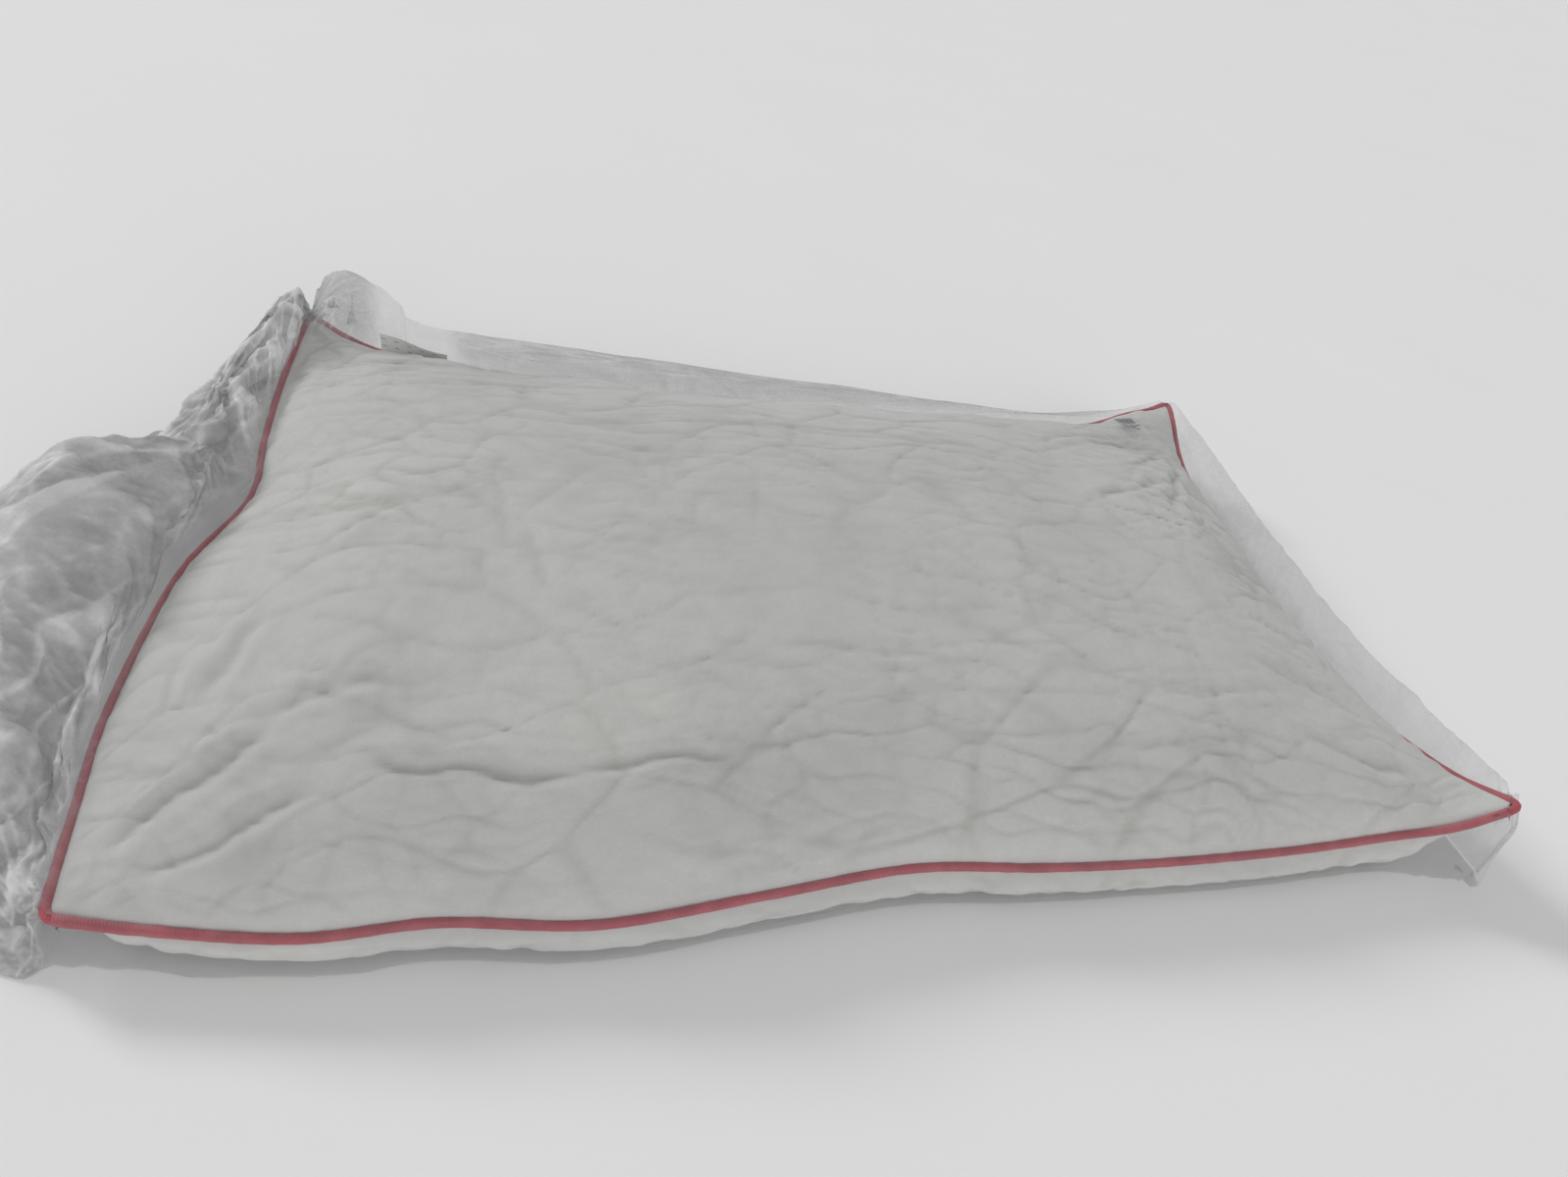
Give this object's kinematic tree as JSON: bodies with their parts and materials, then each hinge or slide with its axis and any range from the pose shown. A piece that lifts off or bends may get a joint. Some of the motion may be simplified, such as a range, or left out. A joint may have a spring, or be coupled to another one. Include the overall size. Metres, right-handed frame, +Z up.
{
  "type": "bed pillow",
  "caption": "Rectangular fibre-filled bed pillow with a contrast piped seam, lying flat inside its loose clear film bag.",
  "frame": {"origin": "on the surface that the bag lies on, under the middle of the pillow", "axes": "+X along the pillow's length, away from the bag's loose end; +Y across the pillow's width; +Z up"},
  "size_m": [0.8926, 0.4892, 0.0964],
  "materials": {
    "fibre": "loose siliconised polyester fibre",
    "casing": "fine white cotton percale",
    "piping": "dark red cotton bias strip",
    "cord": "twisted cotton filler cord",
    "thread": "polyester sewing thread",
    "label": "white satin ribbon",
    "film": "clear hazy polyethylene film",
    "print": "clear film label with dark print"
  },
  "bodies": {
    "root": {"fibre_fill": "fibre", "casing_upper_panel": "casing", "casing_lower_panel": "casing", "piping_cover": "piping", "piping_cord": "cord", "needle_thread": "thread", "bobbin_thread": "thread", "closing_thread": "thread", "care_label": "label", "bag_lower_film": "film", "bag_upper_film": "film", "bag_open_end": "film", "print_label": "print"}
  },
  "joints": []
}
